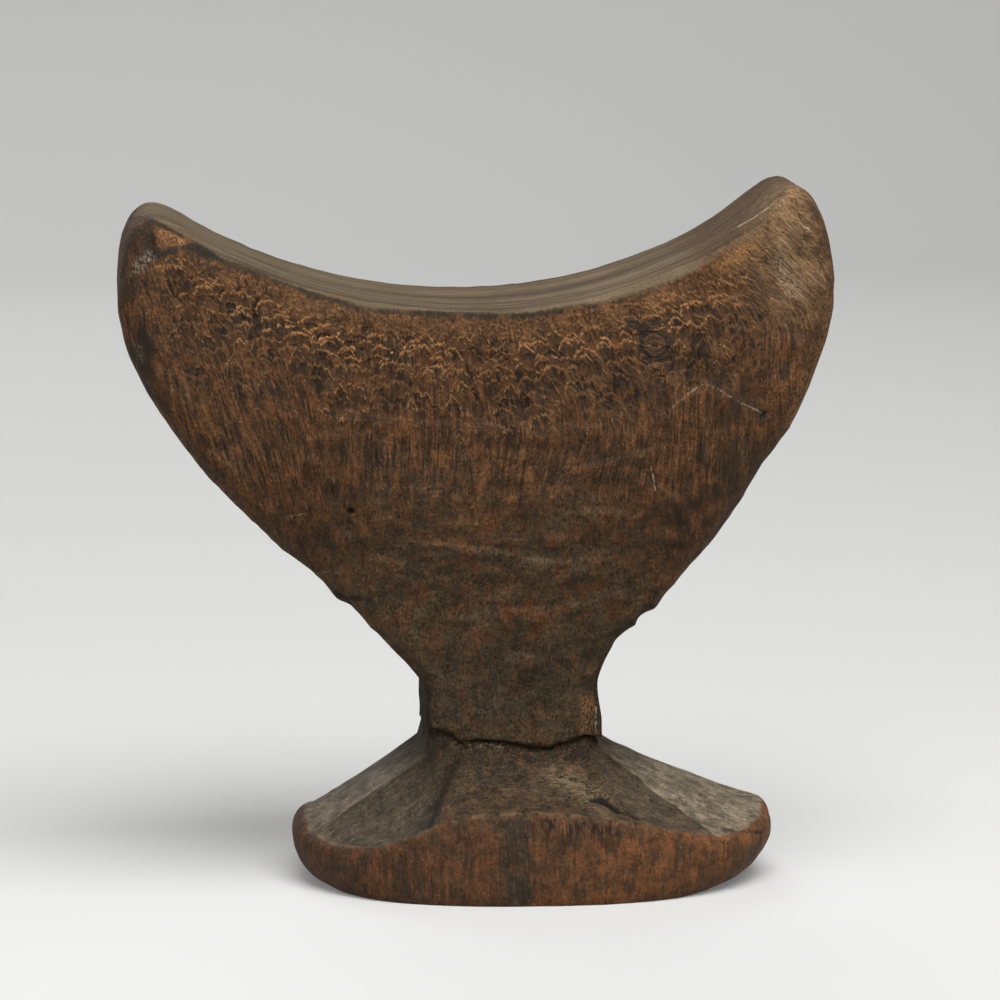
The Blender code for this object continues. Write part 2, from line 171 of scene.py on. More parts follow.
# Ledges left by the adze on the lower face, each a route from left to right with how far, in mm, the wood
# under it stands out.
LEDGES = [
    ([(-27.1, 86.8), (-22.6, 86.3), (-18.8, 85.4), (-11.8, 84.7)], 1.28),
    ([(26.7, 100.2), (30.6, 97.3), (33.8, 95.6), (35.1, 92.3)], 1.12),
    ([(12.6, 104.8), (17.7, 106.4), (24.8, 107.9)], 0.8),
    ([(8.1, 93.9), (13.9, 94.1), (19.7, 93.4)], 0.8),
    ([(1.1, 82.3), (8.8, 81.9), (12.0, 82.9)], 0.8),
    ([(-47.0, 117.8), (-37.0, 115.9), (-22.0, 114.6), (-2.0, 113.9), (11.2, 113.9)], 0.72),
    ([(30.6, 118.3), (38.2, 124.0), (46.5, 119.4), (52.2, 116.7)], 0.8),
    ([(-44.0, 101.0), (-36.0, 99.4), (-30.0, 99.8)], 0.64),
    ([(-36.0, 79.0), (-30.0, 77.4), (-24.0, 78.2)], 0.64),
    ([(-8.0, 70.6), (0.0, 69.8), (7.0, 71.0)], 0.64),
]


def mix(a, b, share):
    """From a to b by share."""
    return a + (b - a) * share


def fade(low, high, value):
    """0 at low and before, 1 at high and after, level at both ends."""
    share = np.clip((value - low) / (high - low), 0.0, 1.0)
    return share * share * (3.0 - 2.0 * share)


LATTICE = np.random.default_rng(5).uniform(-1.0, 1.0, (64, 64, 64))
LAYER_SHIFT = 17.37  # each layer of noise is read from another place in the lattice


def wander(x, y, z, layer=0):
    """Smooth noise from -1 to 1: fixed random values at whole-numbered points, eased from one to another."""
    place = np.stack(np.broadcast_arrays(x, y, z)) + LAYER_SHIFT * layer
    whole = np.floor(place).astype(int)
    part = place - whole
    part = part * part * (3.0 - 2.0 * part)
    total = 0.0
    for corner in np.ndindex(2, 2, 2):
        towards = np.array(corner).reshape((3,) + (1,) * (place.ndim - 1))
        weight = np.prod(np.where(towards, part, 1.0 - part), axis=0)
        total = total + weight * LATTICE[tuple((whole + towards) % len(LATTICE))]
    return total


def path_shares(points):
    """How far along a path each of its points lies, from 0 to 1."""
    steps = np.linalg.norm(np.diff(points, axis=0), axis=1)
    return np.concatenate([[0.0], np.cumsum(steps)]) / steps.sum()


def curve_through(points, shares):
    """A smooth curve through points: cubic pieces whose tangents come from each point's neighbours."""
    points = np.array(points)
    knots = path_shares(points)
    tangents = np.gradient(points, knots, axis=0)
    piece = np.clip(np.searchsorted(knots, shares, side="right") - 1, 0, len(points) - 2)
    span = (knots[piece + 1] - knots[piece])[:, None]
    u = (shares - knots[piece])[:, None] / span
    start = (2 * u**3 - 3 * u**2 + 1) * points[piece] + (u**3 - 2 * u**2 + u) * span * tangents[piece]
    end = (3 * u**2 - 2 * u**3) * points[piece + 1] + (u**3 - u**2) * span * tangents[piece + 1]
    return start + end


def block_skin(columns, layers, rows):
    """The skin of a block cut into columns (X), layers (Y) and rows (Z): its points' counts, and its faces.

    The sides and the top are quads, and the foot is closed by one face round its edge.
    """
    counts = np.indices((columns + 1, layers + 1, rows + 1))
    i, j, k = counts
    skin = (i == 0) | (i == columns) | (j == 0) | (j == layers) | (k == rows)
    index = np.full(skin.shape, -1)
    index[skin] = np.arange(skin.sum())

    def quads(sheet):
        return np.stack([sheet[:-1, :-1], sheet[1:, :-1], sheet[1:, 1:], sheet[:-1, 1:]], -1).reshape(-1, 4)

    sheets = [index[:, 0, :], index[:, -1, ::-1], index[0, ::-1, :], index[-1, :, :], index[:, :, -1]]
    foot = np.concatenate([index[:-1, 0, 0], index[-1, :-1, 0], index[:0:-1, -1, 0], index[0, :0:-1, 0]])
    faces = np.concatenate([quads(sheet) for sheet in sheets]).tolist() + [foot[::-1].tolist()]
    return counts[:, skin], faces


def foot_height(x, y):
    """Height of the seat between neck and base: chisel strokes at the front, an uneven line elsewhere."""
    strokes_x, strokes_z = np.array(FOOT_STROKES).T
    front = fade(-4.0, -12.0, y)
    uneven = SEAT + 0.8 * wander(x / 9.0, y / 9.0, 3.0)
    return mix(uneven, np.interp(x, strokes_x, strokes_z), front)


def half_depth(z, across):
    """Half the thickness: the neck's, swelling to the belly, then set back by the square of the height."""
    rise = fade(NECK_TOP - 2.0, BELLY_HEIGHT, z)
    half = mix(NECK_HALF_DEPTH, BELLY_HALF, rise) - FACE_CROWN * across**4 * rise
    return half - TOP_SETBACK * np.clip((z - BELLY_HEIGHT) / (SADDLE_LOW - BELLY_HEIGHT), 0.0, 1.3) ** 2


def fan_outline(spread, rows):
    """The fan drawn flat, as x and z on a grid of columns by rows, and how its edge is rounded near a point.

    Rows run straight from the left outline to the right one, and sag to the saddle by the square of their
    height. The way in, the distance and the rounding's radius come from the nearest points of a flank and of
    the saddle, and the two run into each other at the horns, where both are near.
    """
    path = LEFT_OUTLINE + SADDLE + RIGHT_OUTLINE[::-1]
    marks = path_shares(path)
    left_tip, right_tip = marks[len(LEFT_OUTLINE) - 1], marks[-len(RIGHT_OUTLINE)]
    up = np.linspace(0.0, 1.0, rows + 1)
    left, right = curve_through(path, left_tip * up), curve_through(path, 1.0 - (1.0 - right_tip) * up)
    flat = mix(left, right, ((spread + 1.0) / 2.0)[:, None, None])
    saddle_x, saddle_z = curve_through(path, np.linspace(left_tip, right_tip, 300)).T
    sag = flat[:, -1, 1] - np.interp(flat[:, -1, 0], saddle_x, saddle_z)
    height = (left[:, 1] + right[:, 1]) / 2.0 - NECK_TOP
    rise = np.clip(height / height[-1], 0.0, 1.0)
    flat[:, :, 1] -= sag[:, None] * rise**2
    edge = np.concatenate([flat[0], flat[1:-1, -1], flat[-1, ::-1]])
    run = np.gradient(edge, axis=0)
    inward = np.stack([run[:, 1], -run[:, 0]], -1) / np.linalg.norm(run, axis=1)[:, None]
    flank_round = mix(FLANK_ROUND, HORN_ROUND, rise**2)
    to_horn = np.where(spread < 0.0, spread**LEFT_HORN_POWER, spread**RIGHT_HORN_POWER)
    saddle_round = mix(SADDLE_EDGE_ROUND, HORN_ROUND, to_horn)
    rounding = np.concatenate([flank_round, saddle_round[1:-1], flank_round[::-1]])

    def from_stretch(chosen):
        """How far in points lie from a stretch of the edge, the way in there, and its rounding's radius."""
        stretch = edge[chosen]
        gaps = (flat[..., 0, None] - stretch[:, 0]) ** 2 + (flat[..., 1, None] - stretch[:, 1]) ** 2
        nearest = np.argmin(gaps, axis=-1)
        way = inward[chosen][nearest]
        return np.clip(((flat - stretch[nearest]) * way).sum(-1), 0.0, None), way, rounding[chosen][nearest]

    number = np.arange(len(edge))
    flank_gap, flank_way, flank_radius = from_stretch((number <= rows) | (number >= len(edge) - rows - 1))
    saddle_gap, saddle_way, saddle_radius = from_stretch((number >= rows) & (number <= len(edge) - rows - 1))
    share = np.clip(0.5 + (saddle_gap - flank_gap) / (2.0 * HORN_BLEND), 0.0, 1.0)
    distance = np.clip(mix(saddle_gap, flank_gap, share) - HORN_BLEND * share * (1.0 - share), 0.0, None)
    way_in = mix(saddle_way, flank_way, share[..., None])
    return flat, rise, way_in, distance, mix(saddle_radius, flank_radius, share)


def rest_shape(column, spread, deep, row, rows):
    """The fan given its depth: where a face meets the edge, both draw back to a circle, which rounds it."""
    flat, rise, way_in, distance, radius = fan_outline(spread, rows)
    (x, z), (in_x, in_z) = flat[column, row].T, way_in[column, row].T
    half = half_depth(z, spread[column])
    distance, radius = distance[column, row], radius[column, row]
    edge_pull = np.clip(radius - distance, 0.0, None)
    face_pull = np.clip(radius - (1.0 - abs(deep)) * half, 0.0, None)
    drawn = 1.0 - 1.0 / np.maximum(1.0, np.hypot(face_pull, edge_pull) / radius)
    x = x + in_x * edge_pull * drawn
    y = deep * half - np.sign(deep) * face_pull * drawn
    z = z + in_z * edge_pull * drawn
    lowest = LEFT_OUTLINE[0][1]
    return x, y, z + (foot_height(x, y) - lowest) * fade(lowest + 10.0, lowest, z)


def line_gap(x, z, route):
    """Distance of points from a line drawn through route's corners, signed by the side they lie on."""
    least = np.full(np.shape(x), np.inf)
    for (x0, z0), (x1, z1) in zip(route, route[1:]):
        run_x, run_z = x1 - x0, z1 - z0
        share = np.clip(((x - x0) * run_x + (z - z0) * run_z) / (run_x**2 + run_z**2), 0.0, 1.0)
        off_x, off_z = x - x0 - share * run_x, z - z0 - share * run_z
        gap = np.where(run_x * off_z < run_z * off_x, -1.0, 1.0) * np.hypot(off_x, off_z)
        least = np.where(abs(gap) < abs(least), gap, least)
    return least


def painted(x, z, marks):
    """The strongest of several marks at each point.

    Each falls off from its route as a bell curve does, and is all but gone at twice its width.
    """
    strengths = [amount * np.exp(-((line_gap(x, z, route) / width) ** 2)) for route, width, amount in marks]
    return np.max(strengths, axis=0)


def rest_grain(x, y, z):
    """The wood's own coordinates, across, through and along the fibres, and the depth of its growth layers.

    Fibres part round the knot as water does round a post, lean under the saddle, and bend over the right
    horn by the square of the height. The layers lie parallel to the faces. Noise drawn out along the fibres
    pushes them in and out, in arches with sharp corners between.
    """
    from_knot = np.hypot(x - KNOT[0], KNOT_OVAL * (z - KNOT[1]))
    nearness = (from_knot / KNOT_RADIUS) ** 2
    lean = MIDDLE_LEAN * np.exp(-(((x - 8.0) / 22.0) ** 2)) * fade(98.0, 120.0, z)
    lean = lean + LEFT_LEAN * fade(-40.0, -66.0, x)
    bent = np.clip(z - BEND_START, 0.0, BEND_RISE)
    over_horn = BEND * bent * (2.0 * (z - BEND_START) - bent) * fade(26.0, 48.0, x)
    across = x + lean * (z - LEAN_HEIGHT) + over_horn
    across = across - (x - KNOT[0]) * nearness / (1.0 + nearness**2)
    depth = np.sqrt(y**2 + (0.13 * (x + 15.0)) ** 2 + 9.0)
    swells = 1.2 * wander(across / 24.0, y / 24.0, z / 60.0)
    swells = swells + 0.5 * wander(across / 9.0, y / 12.0, z / 30.0, 7)
    arches = 0.6 * abs(wander(across / 2.8, y / 9.0, z / 16.0, 1))
    knot = 2.2 * np.exp(-((from_knot / (1.6 * KNOT_RADIUS)) ** 2)) * fade(0.0, -20.0, y)
    return (across, y, z), swells - arches + knot - depth


def layer_step(layers):
    """The worn end of a growth layer, from -0.5 to 0.5: it rises straight to its lip, then drops off."""
    lip = 0.88
    part = layers - np.floor(layers)
    return np.where(part < lip, part / lip, (1.0 - part) / (1.0 - lip)) - 0.5


def wooden_piece(name, points, faces, grain, masks):
    """A smooth mesh object from points in mm, carrying the wood's coordinates and the named masks."""
    mesh = bpy.data.meshes.new(name)
    mesh.from_pydata((np.stack(points, -1) * MM).tolist(), [], faces)
    grain_attribute = mesh.attributes.new("grain", "FLOAT_VECTOR", "POINT")
    grain_attribute.data.foreach_set("vector", np.stack(grain, -1).ravel())
    for mask, values in masks.items():
        mesh.attributes.new(mask, "FLOAT", "POINT").data.foreach_set("value", values)
    mesh.shade_smooth()
    piece = bpy.data.objects.new(name, mesh)
    bpy.context.scene.collection.objects.link(piece)
    return piece


def facing(points, faces):
    """Outward directions of a surface's points, from Blender's own smooth normals."""
    mesh = bpy.data.meshes.new("facing")
    mesh.from_pydata(np.stack(points, -1).tolist(), [], faces)
    normals = np.empty(3 * len(mesh.vertices))
    mesh.vertex_normals.foreach_get("vector", normals)
    bpy.data.meshes.remove(mesh)
    return normals.reshape(-1, 3).T


COLUMNS, LAYERS, ROWS = 224, 40, 170
CROWDED_COLUMNS = 0.3  # columns and layers stand closer together towards the edges
CROWDED_LAYERS = 0.5
(column, deep_layer, row), rest_faces = block_skin(COLUMNS, LAYERS, ROWS)
even = np.linspace(-1.0, 1.0, COLUMNS + 1)
spread = mix(even, np.sin(np.pi / 2.0 * even), CROWDED_COLUMNS)
even_deep = 2.0 * deep_layer / LAYERS - 1.0
deep = mix(even_deep, np.sin(np.pi / 2.0 * even_deep), CROWDED_LAYERS)
x, y, z = rest_shape(column, spread, deep, row, ROWS)
normal = facing((x, y, z), rest_faces)
grain, ring = rest_grain(x, y, z)
# Where points show from in front. The back takes the front's places, so that it wears alike.
shown_x = x - SIGHT_SHIFT * (-abs(y) - FRONT_PLANE)
shown_z = z + SIGHT_DROP * (-abs(y) - FRONT_PLANE)
below_edge = np.interp(shown_x, *np.array(NEAR_EDGE).T) - shown_z + 0.3 * wander(x / 7.0, y / 20.0, 0.0, 8)
at_front = fade(6.0, -6.0, y)
near_front = fade(-8.0, -24.0, y)
# The weather has eaten the faces from the saddle down to an uneven line, and less towards the horns.
face = fade(0.35, 0.8, abs(normal[1]))
worn_to = 30.0 + 7.0 * wander(x / 13.0, y / 30.0, 0.0, 4) + 4.0 * wander(x / 4.5, y / 30.0, 0.0, 9)
eroded = face * fade(6.0, -8.0, below_edge - worn_to)
eroded = eroded * mix(1.0, 0.55, fade(38.0, 56.0, x)) * fade(-97.0, -80.0, x)
# Adze dents in three sizes, shallower on the saddle and the flanks, and deeper low on the fan.
adze = 0.75 * (0.3 - abs(wander(x / 11.0, y / 11.0, z / 9.0, 5)))
adze = adze + 0.5 * (0.3 - abs(wander(x / 4.5, y / 4.5, z / 5.0, 6)))
adze = adze + 0.16 * wander(x / 2.2, y / 2.2, z / 2.6, 15)
adze = adze * mix(0.35, 1.0, fade(-1.0, 3.0, below_edge)) * mix(1.0, 0.45, fade(0.3, 0.8, abs(normal[0])))
adze = adze * mix(1.0, 1.45, fade(112.0, 84.0, z) * fade(52.0, 66.0, z))
relief = 0.5 * eroded * fade(2.0, 8.0, below_edge) * layer_step(ring / GROWTH_LAYER)
from_holes = [np.hypot(x - hole_x, z - hole_z) for hole_x, hole_z in WORM_HOLES]
holes = sum(np.exp(-((gap / WORM_HOLE_RADIUS) ** 2)) for gap in from_holes) * at_front
ledges = 0.0
for route, stands_out in LEDGES:
    gap = line_gap(shown_x, shown_z, route)
    ledges = ledges + stands_out * fade(0.7, -0.7, gap) * np.exp(-((gap / 4.5) ** 2)) * at_front
carved = adze + relief + ledges - WORM_HOLE_DEPTH * holes
x, y, z = (place + direction * carved for place, direction in zip((x, y, z), normal))
# Each point's gap to the nearest thin line, and that line's tone.
thin_gaps = np.array([line_gap(shown_x, shown_z, route) for tone, route in THIN_LINES])
nearest_line = np.argmin(abs(thin_gaps), axis=0)
thin_gap = np.take_along_axis(thin_gaps, nearest_line[None], 0)[0]
thin_tone = np.array([tone for tone, route in THIN_LINES])[nearest_line]
thin_tone = thin_tone * fade(2.2, 1.2, abs(thin_gap)) * near_front
uneven_z = z + 9.0 * wander(x / 16.0, y / 30.0, z / 22.0, 10)
rest_marks = {
    "eroded": eroded,
    "below_edge": below_edge,
    "knot_gap": np.where(y < 0.0, np.hypot(x - KNOT[0], z - KNOT[1]), NO_KNOT),
    "low_face": fade(116.0, 70.0, uneven_z + 14.0 * fade(18.0, 48.0, abs(x + 14.0))),
    "flank": fade(0.5, 0.9, abs(normal[0])),
    "stains_and_shadows": painted(shown_x, shown_z, DARK_STAINS_AND_SHADOWS) * near_front,
    "bare_wood": painted(shown_x, shown_z, BARE_WOOD) * at_front,
    "patina": painted(shown_x, shown_z, PATINA) * at_front,
    "glint": painted(shown_x, shown_z, GLINTS) * at_front,
    "hole": holes,
    "thin_gap": thin_gap,
    "thin_tone": thin_tone,
}
rest = wooden_piece("carved_rest", (x, y, z), rest_faces, grain, rest_marks)


class Wire:
    """An output socket in a material's nodes: sums on wires make Math nodes, and node() makes any other."""

    def __init__(self, tree, socket=None):
        self.tree = tree
        self.socket = socket

    def node(self, kind, settings=None, inputs=None, output=0):
        """A new node with its settings made first, then its inputs from wires or plain values."""
        node = self.tree.nodes.new(kind)
        for name, value in (settings or {}).items():
            setattr(node, name, value)
        for name, value in (inputs or {}).items():
            if isinstance(value, Wire):
                self.tree.links.new(value.socket, node.inputs[name])
            else:
                node.inputs[name].default_value = value
        return Wire(self.tree, node.outputs[output])

    def maths(self, operation, a, b=0.0):
        return self.node("ShaderNodeMath", {"operation": operation}, {0: a, 1: b})

    def __add__(self, other):
        return self.maths("ADD", self, other)

    def __sub__(self, other):
        return self.maths("SUBTRACT", self, other)

    def __mul__(self, other):
        return self.maths("MULTIPLY", self, other)

    def __truediv__(self, other):
        return self.maths("DIVIDE", self, other)

    def __rsub__(self, other):
        return self.maths("SUBTRACT", other, self)

    def __rtruediv__(self, other):
        return self.maths("DIVIDE", other, self)

    __radd__ = __add__
    __rmul__ = __mul__

    def part(self):
        """What is left of the value above its whole number."""
        return self.maths("FRACT", self)

    def fade(self, low, high):
        """0 at low, 1 at high, level at both ends."""
        settings = {"interpolation_type": "SMOOTHSTEP"}
        return self.node("ShaderNodeMapRange", settings, {"Value": self, "From Min": low, "From Max": high})

    def blend(self, start, end):
        """A colour from start to end as this value goes from 0 to 1."""
        return self.node("ShaderNodeMix", {"data_type": "RGBA"}, {0: self, 6: start, 7: end}, 2)

    def shade(self, wood):
        """A colour made darker or lighter by this value, and left alone where it is 1."""
        settings = {"data_type": "RGBA", "blend_type": "MULTIPLY"}
        return self.node("ShaderNodeMix", settings, {0: 1.0, 6: wood, 7: self}, 2)

    def attribute(self, name, output="Fac"):
        return self.node("ShaderNodeAttribute", {"attribute_name": name}, None, output)

    def noise(self, stretch, detail=3.0, roughness=0.55):
        """Noise over this wire's coordinates, from 0 to 1, with one size in mm for each direction."""
        scale = [1.0 / size for size in stretch]
        place = self.node("ShaderNodeVectorMath", {"operation": "MULTIPLY"}, {0: self, 1: scale})
        inputs = {"Vector": place, "Scale": 1.0, "Detail": detail, "Roughness": roughness}
        return self.node("ShaderNodeTexNoise", None, inputs)


def scallops(place, wide, tall, teeth):
    """Arched hollows in uneven rows, each with a toothed lip over it: how much lip and hollow shows, 0 to 1.

    Each Voronoi cell is one hollow. Its arch falls off by the square of the distance from the cell's middle.
    """
    through = 40.0
    scale = (1.0 / wide, 1.0 / through, 1.0 / tall)
    scaled = place.node("ShaderNodeVectorMath", {"operation": "MULTIPLY"}, {0: place, 1: scale})
    inputs = {"Vector": scaled, "Scale": 1.0, "Randomness": 1.0}
    cell = scaled.node("ShaderNodeTexVoronoi", None, inputs, "Position")
    strength = scaled.node("ShaderNodeTexWhiteNoise", None, {"Vector": cell}, "Value")
    local = scaled.node("ShaderNodeVectorMath", {"operation": "SUBTRACT"}, {0: scaled, 1: cell})
    side = scaled.node("ShaderNodeSeparateXYZ", None, {0: local}, 0)
    up = scaled.node("ShaderNodeSeparateXYZ", None, {0: local}, 2)
    under = 0.3 - 1.1 * side * side - up + teeth / tall
    lip = under.fade(-0.15 / tall, 0.15 / tall) * under.fade(1.1 / tall, 0.3 / tall)
    hollow = under.fade(0.4 / tall, 0.9 / tall) * under.fade(1.05, 0.2)
    return lip * strength.fade(0.05, 0.6), hollow * (0.45 + 0.55 * strength.fade(0.8, 0.2))


def weathered(wood, noise, dark, light, amount):
    """A colour that turns dark where noise is low and light where it is high, by amount."""
    wood = (noise.fade(0.47, 0.34) * amount).blend(wood, dark)
    return (noise.fade(0.54, 0.68) * amount).blend(wood, light)


def colour(red, green, blue):
    """A colour written as it looks on screen, from 0 to 255, for a socket that takes linear light."""
    share = np.array([red, green, blue]) / 255.0
    linear = np.where(share <= 0.04045, share / 12.92, ((share + 0.055) / 1.055) ** 2.4)
    return (*linear.tolist(), 1.0)


def new_material(name):
    """A new material, the wire to build it with, and its Principled shader."""
    material = bpy.data.materials.new(name)
    material.use_nodes = True
    return material, Wire(material.node_tree), material.node_tree.nodes["Principled BSDF"]


WOOD_SHEEN = 0.2


def finish_wood(shader, wood, roughness, height):
    """Links a wood's colour, roughness and bump, whose height is in mm, to its shader."""
    bump = height.node("ShaderNodeBump", None, {"Strength": 1.0, "Distance": MM, "Height": height})
    for name, wire in (("Base Color", wood), ("Roughness", roughness), ("Normal", bump)):
        wire.tree.links.new(wire.socket, shader.inputs[name])
    shader.inputs["Specular IOR Level"].default_value = WOOD_SHEEN


material, wire, shader = new_material("weathered_hardwood")
grain_wire = wire.attribute("grain", "Vector")
eroded_wire = wire.attribute("eroded")
low_wire = wire.attribute("low_face")
across_wire = wire.node("ShaderNodeSeparateXYZ", None, {0: grain_wire}, 0)
height_up = wire.node("ShaderNodeSeparateXYZ", None, {0: grain_wire}, 2)
# Noises in the wood, each by its size across, through and along the fibres.
bands = grain_wire.noise((1.0, 1.6, 5.0), 3.0, 0.65)
fibres = grain_wire.noise((0.45, 0.9, 6.0), 4.0, 0.65)
threads = grain_wire.noise((0.24, 0.5, 3.0), 2.0, 0.6)
jags = grain_wire.noise((0.7, 1.4, 1.6), 3.0)
scales = grain_wire.noise((0.62, 1.1, 0.9), 3.0, 0.65)
grit = grain_wire.noise((0.42, 0.42, 0.55), 2.0, 0.7)
spots = grain_wire.noise((1.7, 1.7, 2.4), 3.0, 0.65)
dents = grain_wire.noise((2.6, 2.6, 3.6), 4.0, 0.65)
mottle = grain_wire.noise((3.4, 3.4, 6.0), 4.0)
clouds = grain_wire.noise((13.0, 13.0, 18.0), 2.0)
patches = grain_wire.noise((5.5, 5.5, 6.5), 2.0)
stains = grain_wire.noise((3.2, 3.2, 6.0), 4.0, 0.6)
moss = grain_wire.noise((4.2, 4.2, 5.0), 4.0, 0.6)
lines = grain_wire.noise((0.55, 1.2, 8.0), 2.0, 0.5)
flecks = grain_wire.noise((2.4, 2.4, 3.2), 3.0, 0.6)
scuffs = grain_wire.noise((2.6, 2.6, 0.6), 3.0, 0.6)
blush = grain_wire.noise((6.5, 6.5, 8.0), 3.0, 0.6)
dusty = grain_wire.noise((11.0, 11.0, 3.2), 4.0, 0.65)
# Distances from the saddle's near edge and from the knot, made ragged.
below = wire.attribute("below_edge") + 1.1 * (jags - 0.5) + 0.5 * (grit - 0.5)
knot_gap = wire.attribute("knot_gap") + 1.6 * (dents - 0.5) + 1.2 * (jags - 0.5)
knot = knot_gap.fade(1.5 * KNOT_RADIUS, 0.9 * KNOT_RADIUS)
# Scallops: fine ones along the edge, larger ones under those, and long slots further down.
teeth = 2.0 * (grain_wire.noise((0.8, 1.4, 4.0), 2.0, 0.6) - 0.5)
fine_lip, fine_hollow = scallops(grain_wire, 1.3, 1.5, 0.5 * teeth)
lip, hollow = scallops(grain_wire, 3.1, 3.8, teeth)
wide_lip, wide_hollow = scallops(grain_wire, 4.4, 3.4, 1.4 * teeth)
long_lip, slot = scallops(grain_wire, 3.4, 9.0, 2.2 * teeth)
lip = wire.maths("MAXIMUM", lip, wide_lip)
hollow = wire.maths("MAXIMUM", hollow, 0.7 * wide_hollow)
lip_wear_and_highlight = 0.35 + 0.65 * scales.fade(0.36, 0.58)
streaks = 0.45 + 0.55 * bands.fade(0.60, 0.42)
near_edge = below.fade(10.0, 5.0)
far_down = below.fade(10.0, 18.0)
between = (1.0 - 0.7 * far_down) * below.fade(3.0, 8.0)
lined = 0.2 + 0.8 * grain_wire.noise((8.0, 8.0, 12.0), 2.0).fade(0.42, 0.58)
lined = height_up.fade(86.0, 108.0) * lined
grains = 2.8 * (grit - 0.5) + 2.6 * (scales - 0.5) + 2.2 * (dents - 0.5)
grains = wire.maths("MAXIMUM", 1.0 + grains * (0.9 - 0.5 * eroded_wire), 0.3)
# Brown wood above and greyer wood low on the face, with fibres, flecks, spots and scuffs over both.
wood = stains.fade(0.36, 0.68).blend(colour(64, 43, 26), colour(106, 68, 38))
wood = (moss.fade(0.46, 0.66) * 0.5).blend(wood, colour(62, 52, 36))
wood = (clouds.fade(0.50, 0.66) * 0.4).blend(wood, colour(50, 40, 28))
low_wood = stains.fade(0.36, 0.70).blend(colour(79, 65, 48), colour(108, 83, 58))
low_wood = (moss.fade(0.44, 0.66) * 0.55).blend(low_wood, colour(70, 65, 48))
low_wood = (clouds.fade(0.50, 0.36) * 0.22).blend(low_wood, colour(50, 44, 33))
low_wood = (blush.fade(0.52, 0.66) * 0.6).blend(low_wood, colour(124, 76, 46))
low_wood = (dusty.fade(0.52, 0.68) * 0.6).blend(low_wood, colour(118, 102, 80))
low_wood = (dusty.fade(0.46, 0.34) * 0.5).blend(low_wood, colour(48, 43, 34))
wood = weathered(wood, bands, colour(35, 24, 15), colour(119, 80, 47), 0.7)
wood = (low_wire * 0.9).blend(wood, low_wood)
wood = weathered(wood, fibres, colour(34, 25, 17), colour(122, 88, 58), 0.4)
wood = weathered(wood, lines, colour(28, 19, 12), colour(116, 79, 48), 0.8 * lined)
red_brown = mottle.fade(0.42, 0.58).blend(colour(120, 80, 46), colour(118, 68, 45))
wood = (flecks.fade(0.52, 0.68) * (0.25 + 0.4 * low_wire)).blend(wood, red_brown)
wood = (spots.fade(0.56, 0.70) * (0.2 + 0.4 * low_wire)).blend(wood, colour(50, 51, 44))
wood = (scuffs.fade(0.56, 0.72) * (0.1 + 0.3 * low_wire)).blend(wood, colour(112, 95, 75))
# The neck darker under the fan: painted shade, and an olive tone of its own.
wood = (height_up.fade(66.0, 50.0) * 0.5).blend(wood, colour(48, 43, 32))
# The scallops: painted shade in the hollows under their lips, and lips pale from wear and from painted
# highlight.
wood = (slot * far_down * streaks * eroded_wire).blend(wood, colour(24, 17, 12))
wood = (hollow * between * streaks * eroded_wire).blend(wood, colour(27, 19, 13))
wood = (fine_hollow * near_edge * eroded_wire * 0.6).blend(wood, colour(40, 27, 17))
wood = (fine_lip * near_edge * lip_wear_and_highlight * eroded_wire * 0.5).blend(wood, colour(146, 104, 68))
wood = (lip * between * lip_wear_and_highlight * eroded_wire * 0.95).blend(wood, colour(170, 122, 79))
wood = (long_lip * far_down * lip_wear_and_highlight * eroded_wire * 0.8).blend(wood, colour(164, 122, 82))
# The knot's rings, and a dark line round it.
knot_layer = (knot_gap / 1.15).part()
rings = knot_layer.fade(0.1, 0.45) * knot_layer.fade(0.95, 0.6)
wood = (knot * 0.6).blend(wood, rings.blend(colour(88, 63, 43), colour(50, 39, 29)))
ring_gap = wire.maths("ABSOLUTE", knot_gap - KNOT_RADIUS)
wood = (ring_gap.fade(1.0, 0.2) * (0.5 + 0.4 * scales.fade(0.6, 0.4))).blend(wood, colour(32, 27, 22))
# Pale specks, bare and polished places, the neck's sides made dull and darkened with painted shade, stains
# and painted shadows, and glints.
specks = grain_wire.noise((0.5, 0.5, 0.6), 1.0).fade(0.75, 0.79)
wood = (specks * 0.7).blend(wood, colour(170, 146, 116))
bare = wire.attribute("bare_wood") * (0.5 + 0.7 * mottle.fade(0.3, 0.6))
wood = (bare * 0.8).blend(wood, scales.fade(0.36, 0.6).blend(colour(104, 68, 40), colour(168, 122, 78)))
smooth = wire.attribute("patina") * (0.6 + 0.4 * mottle.fade(0.35, 0.6))
polished = (0.5 * dents + 0.5 * lines).fade(0.32, 0.64).blend(colour(96, 73, 49), colour(160, 129, 95))
wood = (smooth * 0.85).blend(wood, polished)
wood = grains.shade(wood)
neck_side = wire.attribute("flank") * height_up.fade(76.0, 42.0)
wood = (neck_side * 0.6).blend(wood, colour(34, 27, 19))
stain_and_shadow = wire.attribute("stains_and_shadows") * (0.5 + 0.9 * mottle.fade(0.34, 0.6))
stain_and_shadow = stain_and_shadow * (0.6 + 0.6 * scales.fade(0.3, 0.55))
wood = (stain_and_shadow.fade(0.12, 0.75) * 0.9).blend(wood, colour(38, 31, 23))
wood = (wire.attribute("glint") * scales.fade(0.42, 0.62) * 0.6).blend(wood, colour(190, 176, 156))
